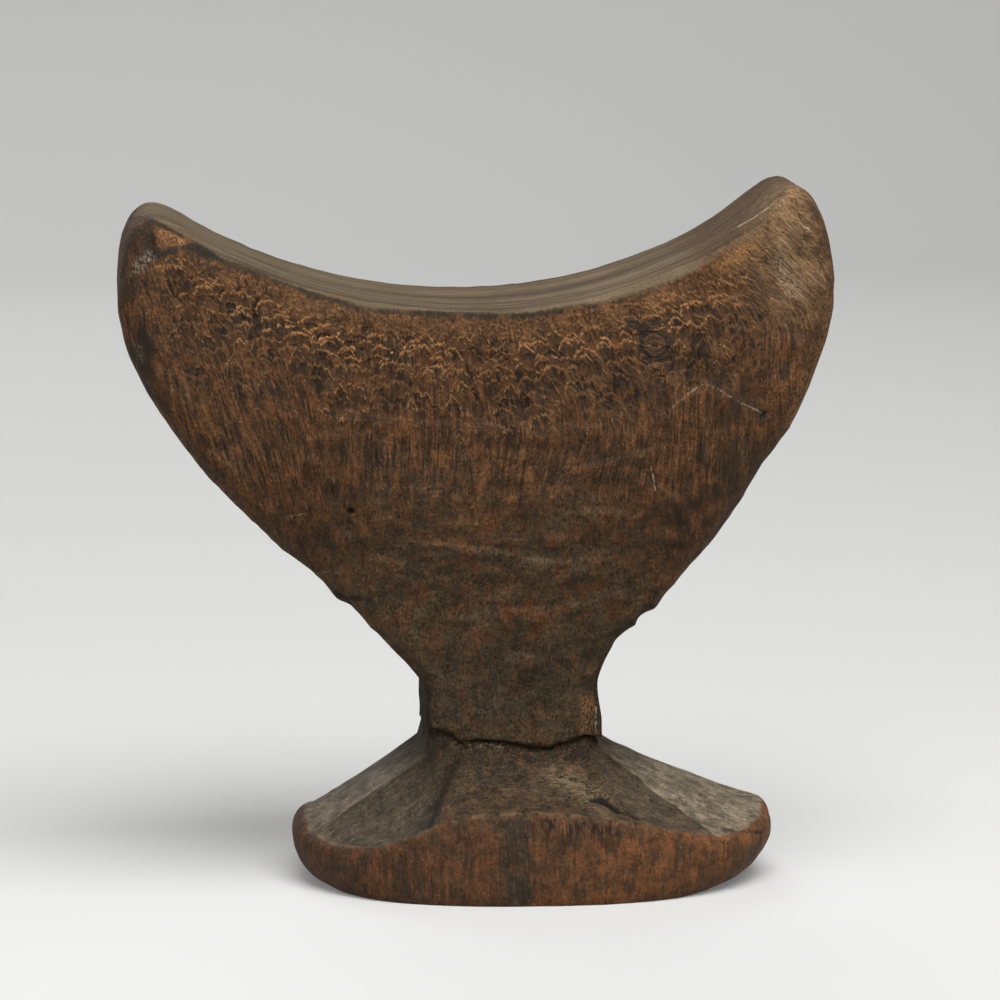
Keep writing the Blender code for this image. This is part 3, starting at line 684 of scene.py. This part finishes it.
# The saddle's top, worn grey in lines from horn to horn, with a dark line along its near edge: dirt, and
# painted shade on the rounded edge.
top = below.fade(0.9, -0.9)
broad_lines = grain_wire.noise((140.0, 5.0, 90.0), 3.0, 0.7)
fine_lines = grain_wire.noise((90.0, 1.1, 60.0), 3.0, 0.7)
sweep_lines = 0.55 * broad_lines + 0.45 * fine_lines
worn_top = sweep_lines.fade(0.41, 0.59).blend(colour(74, 62, 47), colour(132, 114, 90))
worn_top = (clouds.fade(0.44, 0.62) * 0.45).blend(worn_top, colour(96, 79, 58))
worn_top = weathered(worn_top, grit, colour(52, 45, 36), colour(150, 135, 115), 0.35)
to_right = across_wire.fade(34.0, 58.0)
wood = (top * (0.95 - 0.5 * to_right)).blend(wood, worn_top)
edge_line = below.fade(-0.5, 0.2) * below.fade(1.7, 0.5) * across_wire.fade(40.0, -5.0)
wood = (edge_line * (0.4 + 0.5 * patches.fade(0.60, 0.40))).blend(wood, colour(42, 38, 30))
# Thin lines, some of them painted highlights, and the worm holes.
thin_line = wire.maths("ABSOLUTE", wire.attribute("thin_gap") + 0.7 * (jags - 0.5)).fade(0.28, 0.06)
tone = wire.attribute("thin_tone") * thin_line * (0.2 + scales.fade(0.38, 0.6))
wood = tone.fade(0.0, -1.0).blend(wood, colour(24, 18, 13))
wood = tone.fade(0.0, 0.8).blend(wood, colour(196, 176, 146))
# The worm holes filled with painted shade.
wood = wire.attribute("hole").fade(0.25, 0.6).blend(wood, colour(16, 12, 10))
glossy_stain = 0.4 * stain_and_shadow * height_up.fade(138.0, 148.0)
roughness = 0.68 + 0.3 * (grit - 0.5) - glossy_stain + 0.2 * top + 0.25 * neck_side
steps = near_edge * (0.1 * fine_lip - 0.25 * fine_hollow) + between * (0.15 * lip - 0.45 * hollow)
steps = steps + far_down * (0.15 * long_lip - 0.7 * slot)
height = eroded_wire * steps + 0.35 * fibres + 0.14 * threads + 0.25 * knot * rings
height = height + 0.16 * grit + 0.25 * scales + (0.4 + 0.75 * low_wire) * dents + 0.2 * top * sweep_lines
finish_wood(shader, wood, roughness, height)
rest.data.materials.append(material)
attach(rest, "root")
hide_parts("cradle_and_neck")

# The base: an oval foot of the same wood, its top cut in facets that slope up to a collar under the neck.
# The facets are slightly hollow and greyed, and the rim is rubbed red-brown.

base_high = np.array(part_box("base")[1]) / MM
BASE_HALF_WIDTH = base_high[0]
BASE_HALF_DEPTH = base_high[1]
SQUARENESS = 2.3
NECK_LEAN = -5.7
COLLAR_HALF_WIDTH = 21.3
COLLAR_HALF_DEPTH = 19.6
COLLAR_CUT = 3.4
COLLAR_RISE = 2.4
COLLAR_DIP = 1.4  # the collar's foot lies this much lower on the left
COLLAR_TAPER = 0.95  # size of the collar's top as a share of its foot's
SEAT_GAP = 0.3
STEP_DEPTH = 1.6  # sets how far the left facet at the front is cut below the middle one
# The facets round the collar, each from a ridge's direction at the rim, with how deep it is hollowed, and
# how far its cut face has greyed and bleached.
FACETS = [
    (44.0, 0.5, 0.8, 0.3), (66.0, 0.8, 0.3, 0.1), (114.0, 1.4, 0.9, 0.1), (163.0, 0.5, 1.0, 0.6),
    (197.0, 1.7, 1.0, 0.08), (245.5, 0.3, 0.15, 0.0), (292.0, 0.6, 0.5, 0.1), (316.0, 0.5, 0.9, 0.85),
]
# Marks on the base's front, as on the cradle: grooves that are cut in and darkened with painted shade, wood
# that is torn, and stains.
CUT_DEPTH = 1.2
BASE_CUTS = [
    ([(11.6, 24.1), (13.8, 24.3)], 0.45, 1.0),
    ([(13.8, 24.3), (15.6, 23.5)], 1.0, 1.0),
    ([(15.6, 23.5), (18.1, 21.8)], 0.7, 1.0),
    ([(18.1, 21.8), (23.4, 19.8)], 0.4, 0.7),
    ([(-21.1, 33.2), (-24.7, 25.0), (-27.3, 18.7)], 1.3, 0.6),
]
TORN_WOOD = [
    ([(3.0, 29.6), (7.8, 27.9), (11.4, 25.4), (15.0, 22.7)], 2.6, 0.9),
    ([(-20.8, 37.4), (-10.1, 36.8)], 0.9, 0.8),
]
BASE_STAINS_AND_SHADE = [
    ([(43.5, 15.9), (48.0, 15.5), (53.0, 14.9)], 0.7, 0.6),
    # Painted shade along the left groove's shadowed riser.
    ([(-28.5, 19.0), (-24.0, 25.5), (-22.0, 31.0)], 2.4, 0.6),
]
# The rim by direction: crest's height and inset, height of the widest line, inset of the foot, slope's sag.
RIM = [
    (0.0, 17.9, 3.6, 12.5, 18.0, 0.0), (25.0, 16.5, 3.0, 11.0, 11.0, 0.4), (50.0, 16.5, 2.6, 9.5, 4.0, 1.0),
    (70.0, 20.5, 2.5, 9.0, 2.2, 1.6), (90.0, 22.3, 2.4, 9.0, 2.0, 1.8), (112.0, 20.0, 2.5, 9.0, 2.2, 1.6),
    (135.0, 15.0, 2.6, 9.5, 3.0, 1.0), (160.0, 15.2, 3.6, 10.0, 6.0, 0.4),
    (180.0, 16.6, 4.8, 10.5, 11.0, 0.2), (197.0, 13.6, 3.2, 10.0, 9.0, 0.2),
    (215.0, 12.4, 2.4, 9.5, 5.0, 0.6), (230.0, 13.4, 2.4, 9.0, 2.4, 0.8),
    (240.0, 16.4, 2.4, 9.0, 1.6, 1.2), (247.0, 19.6, 2.4, 9.0, 1.4, 1.5), (266.0, 22.5, 2.4, 9.0, 1.4, 1.8),
    (286.0, 20.4, 2.4, 9.0, 1.8, 1.6), (302.0, 17.0, 2.5, 9.5, 3.4, 1.0), (316.0, 14.4, 2.6, 10.5, 7.0, 0.5),
    (335.0, 15.2, 3.0, 12.0, 13.0, 0.2), (360.0, 17.9, 3.6, 12.5, 18.0, 0.0),
]


def oval(turn, inset):
    """A point of the rim's rounded oval in a direction, moved in by inset."""
    c, s = np.cos(turn), np.sin(turn)
    x = np.sign(c) * abs(c) ** (2.0 / SQUARENESS) * (BASE_HALF_WIDTH - inset)
    y = np.sign(s) * abs(s) ** (2.0 / SQUARENESS) * (BASE_HALF_DEPTH - inset)
    return x, y


def collar_point(turn):
    """A point on the eight-sided collar: straight runs between corners, shared out by the ridges."""
    wide, deep, cut = COLLAR_HALF_WIDTH, COLLAR_HALF_DEPTH, COLLAR_CUT
    quarter = [(wide, deep - cut), (wide - cut, deep)]
    corners = quarter + [(-px, py) for px, py in quarter[::-1]]
    corners += [(-px, -py) for px, py in corners]
    ridges = np.radians(np.array(FACETS)[:, 0])
    x, y = (np.interp(turn, ridges, side, period=2.0 * np.pi) for side in np.array(corners).T)
    return x + NECK_LEAN, y


def facet_at(turn):
    """The facet in a direction, and how far across it that lies, from one ridge to the next."""
    ridges = np.array(FACETS)[:, 0]
    degrees = (np.degrees(turn) - ridges[0]) % 360.0
    starts = ridges - ridges[0]
    facet = np.searchsorted(starts, degrees, side="right") - 1
    ends = np.append(starts[1:], 360.0)
    return facet, (degrees - starts[facet]) / (ends - starts)[facet]


def facet_hollow(turn):
    """How far the facet in a direction is scooped out, none at its two ridges and all of it halfway."""
    facet, share = facet_at(turn)
    return np.array(FACETS)[facet, 1] * 4.0 * share * (1.0 - share)


def base_shape(turn, down):
    """The base's skin: down goes over collar, slope, upper rim, lower rim and underside, 1 for each.

    The slope is a straight run from collar to crest that sags and is scooped between its ridges. The rim is
    two quarter ellipses, from the crest out to its widest line and in again to its foot.
    """
    degrees = np.degrees(turn)
    rim = curve_through(RIM, np.linspace(0.0, 1.0, 721))
    crest, crest_inset, widest, foot_inset, sag = (
        np.interp(degrees, rim[:, 0], column) for column in rim[:, 1:].T
    )
    collar_x, collar_y = collar_point(turn)
    collar_top = foot_height(collar_x, collar_y) - SEAT_GAP
    collar_foot = SEAT - COLLAR_RISE - SEAT_GAP - COLLAR_DIP * fade(-0.3, -0.9, np.cos(turn))
    crest_x, crest_y = oval(turn, crest_inset)
    slope = np.clip(down - 1.0, 0.0, 1.0)
    bowl = 4.0 * slope * (1.0 - slope)
    scoop = facet_hollow(turn) * np.sqrt(bowl)
    left_step = STEP_DEPTH * fade(247.5, 243.5, degrees) * fade(205.0, 238.0, degrees)
    left_step = left_step * fade(0.1, 0.5, slope)
    drawn_in = mix(COLLAR_TAPER, 1.0, np.clip(down, 0.0, 1.0))
    x = mix(mix(NECK_LEAN, collar_x, drawn_in), crest_x, slope)
    y = mix(collar_y * drawn_in, crest_y, slope)
    z = mix(collar_foot, crest, slope) - sag * bowl - scoop - left_step * (1.0 - 0.5 * slope)
    z = np.where(down < 1.0, mix(collar_top, collar_foot, down), z)
    arc = np.pi / 2.0 * np.clip(down - 2.0, 0.0, 1.0)
    rim_x, rim_y = oval(turn, crest_inset * (1.0 - np.sin(arc)))
    upper = (down > 2.0) & (down <= 3.0)
    x, y = np.where(upper, rim_x, x), np.where(upper, rim_y, y)
    z = np.where(upper, mix(widest, crest, np.cos(arc)), z)
    arc = np.pi / 2.0 * np.clip(down - 3.0, 0.0, 1.0)
    rim_x, rim_y = oval(turn, foot_inset * (1.0 - np.cos(arc)))
    lower = down > 3.0
    inwards = 1.0 - np.clip(down - 4.0, 0.0, 1.0) * 0.98
    x, y = np.where(lower, rim_x * inwards, x), np.where(lower, rim_y * inwards, y)
    z = np.where(lower, widest * (1.0 - np.sin(arc)), z)
    return x, y, z


def ring_skin(around, along):
    """Faces of a closed tube of points, around by along, with one face over each end."""
    index = np.arange(around * along).reshape(around, along)
    after = np.roll(index, -1, axis=0)
    quads = np.stack([index[:, :-1], index[:, 1:], after[:, 1:], after[:, :-1]], -1).reshape(-1, 4)
    return quads.tolist() + [index[:, 0].tolist(), index[::-1, -1].tolist()]


AROUND = 520
STEPS_DOWN = (8, 56, 30, 30, 20)  # collar, slope, upper rim, lower rim, underside
stretches = [np.linspace(a, a + 1.0, n, endpoint=False) for a, n in enumerate(STEPS_DOWN)]
STOPS = np.concatenate(stretches + [[float(len(STEPS_DOWN))]])
turns = np.linspace(0.0, 2.0 * np.pi, AROUND, endpoint=False)
turn, down = (grid.ravel() for grid in np.meshgrid(turns, STOPS, indexing="ij"))
base_faces = ring_skin(AROUND, len(STOPS))
x, y, z = base_shape(turn, down)
normal = facing((x, y, z), base_faces)
grain = (x, y, z)
at_front = fade(4.0, -8.0, y)
shown_x = x - SIGHT_SHIFT * (y - FRONT_PLANE)
shown_z = z + SIGHT_DROP * (y - FRONT_PLANE)
cuts = painted(shown_x, shown_z, BASE_CUTS) * at_front
torn = painted(shown_x, shown_z, TORN_WOOD) * at_front
adze = 0.5 * (0.3 - abs(wander(x / 10.0, y / 10.0, z / 10.0, 11)))
adze = adze + 0.25 * (0.3 - abs(wander(x / 4.0, y / 4.0, z / 5.0, 12)))
carved = adze * fade(0.6, 1.4, down) * fade(4.0, 3.7, down) - CUT_DEPTH * cuts
carved = carved + 0.3 * torn * wander(x / 1.6, y / 1.6, z / 1.2, 13)
x, y, z = (place + direction * carved for place, direction in zip((x, y, z), normal))
greyed, bleached = np.array(FACETS)[facet_at(turn)[0], 2:].T
on_slope = fade(2.34, 2.08, down + 0.06 * wander(x / 3.0, y / 3.0, 0.0, 14))
under_crest = fade(2.85, 2.4, down) * fade(2.0, 2.1, down)
base_marks = {
    "on_slope": on_slope,
    "collar": fade(1.5, 0.9, down),
    "greyed": greyed,
    "bleached": bleached,
    "to_right": fade(-50.0, 55.0, x),
    "damp": fade(-11.5, -9.0, x) * fade(-2.9, -3.6, x) * at_front,
    "cut_in": cuts,
    "torn": torn,
    "stains_and_shadows": painted(shown_x, shown_z, BASE_STAINS_AND_SHADE) * at_front,
    "strokes": fade(-10.0, 2.0, x) * fade(26.0, 14.0, x) * under_crest * at_front,
    "crest": np.exp(-(((down - 2.12) / 0.14) ** 2)),
}
base_piece = wooden_piece("carved_base", (x, y, z), base_faces, grain, base_marks)
material, wire, shader = new_material("rubbed_hardwood")
grain_wire = wire.attribute("grain", "Vector")
greyed_wire = wire.attribute("greyed")
fibres = grain_wire.noise((0.42, 0.42, 7.0), 4.0, 0.65)
flow = grain_wire.noise((9.0, 0.5, 3.0), 4.0, 0.65)
grit = grain_wire.noise((0.45, 0.45, 0.5), 2.0, 0.7)
scales = grain_wire.noise((0.9, 0.9, 0.9), 3.0, 0.65)
mottle = grain_wire.noise((4.0, 4.0, 4.0), 4.0)
patches = grain_wire.noise((9.0, 9.0, 9.0), 2.0)
spots = grain_wire.noise((1.8, 1.8, 2.4), 3.0, 0.65)
dents = grain_wire.noise((2.8, 2.8, 3.4), 4.0, 0.65)
stains = grain_wire.noise((3.6, 3.6, 6.0), 4.0, 0.6)
moss = grain_wire.noise((4.4, 4.4, 5.0), 4.0, 0.6)
flecks = grain_wire.noise((1.9, 1.9, 2.6), 3.0, 0.6)
bands = grain_wire.noise((1.3, 1.3, 9.0), 3.0, 0.6)
grains = 2.8 * (grit - 0.5) + 2.6 * (scales - 0.5) + 2.4 * (dents - 0.5)
rough = 0.55 + wire.attribute("on_slope") * (0.6 - 0.5 * greyed_wire)
grains = wire.maths("MAXIMUM", 1.0 + grains * rough, 0.3)
# The rim, redder to the right, with a damp band and dark strokes under its crest.
rim = wire.attribute("to_right").blend(colour(76, 52, 34), colour(136, 89, 53))
rim = (moss.fade(0.42, 0.60) * 0.7).blend(rim, colour(64, 52, 38))
rim = (stains.fade(0.46, 0.66) * 0.6).blend(rim, colour(116, 72, 45))
rim = (patches.fade(0.44, 0.62) * 0.35).blend(rim, colour(56, 44, 33))
rim = weathered(rim, bands, colour(48, 36, 27), colour(134, 80, 47), 0.5)
rim = (wire.attribute("damp") * (0.65 + 0.3 * mottle.fade(0.6, 0.4))).blend(rim, colour(54, 48, 37))
rim = weathered(rim, fibres, colour(36, 26, 19), colour(132, 94, 62), 0.4)
strokes = wire.attribute("strokes") * grain_wire.noise((0.9, 0.9, 12.0), 1.0).fade(0.54, 0.42)
rim = (strokes * 0.9).blend(rim, colour(36, 25, 19))
# The facets, greyed and bleached, and the collar above them darkened with painted shade under the neck.
slope = stains.fade(0.38, 0.70).blend(colour(62, 50, 36), colour(90, 68, 46))
slope = (moss.fade(0.44, 0.64) * 0.5).blend(slope, colour(62, 55, 41))
grey = mottle.fade(0.28, 0.72).blend(colour(56, 49, 38), colour(80, 71, 57))
slope = (greyed_wire * 0.8).blend(slope, grey)
pale = (0.6 * mottle + 0.4 * flow).fade(0.38, 0.62).blend(colour(108, 97, 80), colour(168, 153, 129))
slope = (wire.attribute("bleached") * 0.9).blend(slope, pale)
slope = weathered(slope, flow, colour(46, 39, 30), colour(150, 134, 110), 0.12 + 0.2 * greyed_wire)
slope = (wire.attribute("collar") * 0.75).blend(slope, colour(48, 39, 29))
# Both together, with flecks and spots, a crest pale from rubbing and painted highlight, torn wood, stains and
# painted shade, cuts darkened with painted shade, and specks.
wood = wire.attribute("on_slope").blend(rim, slope)
wood = (flecks.fade(0.52, 0.68) * (1.0 - 0.7 * greyed_wire) * 0.4).blend(wood, colour(116, 76, 48))
wood = (spots.fade(0.56, 0.70) * 0.4).blend(wood, colour(50, 50, 42))
wood = grains.shade(wood)
# The crest pale from rubbing, with painted highlight along it.
wood = (wire.attribute("crest") * mottle.fade(0.46, 0.60) * 0.4).blend(wood, colour(150, 114, 80))
splinters = grain_wire.noise((2.0, 0.7, 0.7), 3.0, 0.65).fade(0.44, 0.62)
splinters = wire.maths("MAXIMUM", splinters * 0.8, grit.fade(0.56, 0.66))
wood = (wire.attribute("torn") * splinters * 0.9).blend(wood, colour(148, 128, 97))
base_stain_and_shadow = wire.attribute("stains_and_shadows") * (0.5 + 0.8 * dents.fade(0.4, 0.6))
wood = (base_stain_and_shadow.fade(0.15, 0.8) * 0.85).blend(wood, colour(34, 28, 22))
wood = wire.attribute("cut_in").fade(0.25, 0.85).blend(wood, colour(28, 22, 17))
specks = grain_wire.noise((0.5, 0.5, 0.6), 1.0).fade(0.74, 0.79)
wood = (specks * 0.6).blend(wood, colour(176, 152, 122))
roughness = 0.66 + 0.3 * (grit - 0.5) + 0.25 * wire.attribute("collar")
height = 0.25 * fibres + 0.2 * flow + 0.14 * grit + 0.2 * scales + 0.6 * dents
finish_wood(shader, wood, roughness, height)
base_piece.data.materials.append(material)
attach(base_piece, "root")
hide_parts("base")

# The studio, in metres: a pale sweep of paper that runs from under the headrest up behind it, a soft light
# overhead, two weaker ones in front at the left and behind, and a camera with a long lens, slightly above
# and to the left.

PAPER_HALF_WIDTH = 8.0
PAPER_FRONT = -8.0
PAPER_BEND_START = 1.6
PAPER_BEND = 0.7
PAPER_TOP = 6.0


def paper_sweep():
    """The floor's profile, flat and then a quarter circle up to an upright, carried straight across."""
    bend = np.linspace(0.0, np.pi / 2.0, 24)
    upright = PAPER_BEND_START + PAPER_BEND
    y = np.concatenate([[PAPER_FRONT], PAPER_BEND_START + PAPER_BEND * np.sin(bend), [upright]])
    z = np.concatenate([[0.0], PAPER_BEND - PAPER_BEND * np.cos(bend), [PAPER_TOP]])
    side = np.array([-PAPER_HALF_WIDTH, PAPER_HALF_WIDTH])
    points = np.stack(np.broadcast_arrays(side[:, None], y, z), -1).reshape(-1, 3)
    first = np.arange(len(y) - 1)
    faces = np.stack([first, first + len(y), first + len(y) + 1, first + 1], -1)
    mesh = bpy.data.meshes.new("paper_sweep")
    mesh.from_pydata(points.tolist(), [], faces.tolist())
    mesh.shade_smooth()
    return bpy.data.objects.new("paper_sweep", mesh)


sweep = paper_sweep()
bpy.context.scene.collection.objects.link(sweep)
paper, wire, shader = new_material("pale_paper")
ray = wire.node("ShaderNodeLightPath", None, None, "Is Camera Ray")
seen = wire.maths("MAXIMUM", ray, wire.node("ShaderNodeLightPath", None, None, "Is Glossy Ray"))
seen = wire.maths("MAXIMUM", seen, wire.node("ShaderNodeLightPath", None, None, "Is Transmission Ray"))
paper_colour = seen.blend(colour(150, 150, 148), colour(214, 214, 212))
wire.tree.links.new(paper_colour.socket, shader.inputs["Base Color"])
shader.inputs["Roughness"].default_value = 0.9
paper_glow = seen.blend(colour(0, 0, 0), colour(104, 104, 103))
wire.tree.links.new(paper_glow.socket, shader.inputs["Emission Color"])
shader.inputs["Emission Strength"].default_value = 1.0
sweep.data.materials.append(paper)


def soft_light(name, place, target, size, power):
    """A square soft box at place, turned to face target."""
    data = bpy.data.lights.new(name, "AREA")
    data.size = size
    data.energy = power
    light = bpy.data.objects.new(name, data)
    bpy.context.scene.collection.objects.link(light)
    light.location = place
    light.rotation_euler = (mathutils.Vector(target) - light.location).to_track_quat("-Z", "Y").to_euler()


MIDDLE = (0.0, 0.0, 0.1)
soft_light("overhead", (0.18, -0.75, 1.3), MIDDLE, size=1.1, power=24.0)
soft_light("front_fill", (-0.9, -1.9, 0.6), MIDDLE, size=1.0, power=5.0)
soft_light("back_fill", (-0.4, 1.5, 1.2), MIDDLE, size=1.0, power=8.0)
world = bpy.data.worlds.new("studio")
world.use_nodes = True
world.node_tree.nodes["Background"].inputs["Color"].default_value = (1.0, 1.0, 1.0, 1.0)
world.node_tree.nodes["Background"].inputs["Strength"].default_value = 0.2
bpy.context.scene.world = world
bpy.context.scene.view_settings.view_transform = "Standard"

CAMERA_PLACE = (-0.0983, -1.2968, 0.2652)
CAMERA_TILT = math.radians(7.6)  # how far it looks down
CAMERA_TURN = math.radians(4.0)  # how far it looks to the right
camera_data = bpy.data.cameras.new("camera")
camera_data.sensor_width = 36.0
camera_data.lens = 194.8
camera = bpy.data.objects.new("camera", camera_data)
camera.location = CAMERA_PLACE
camera.rotation_euler = (math.pi / 2.0 - CAMERA_TILT, 0.0, -CAMERA_TURN)
bpy.context.scene.collection.objects.link(camera)
bpy.context.scene.camera = camera
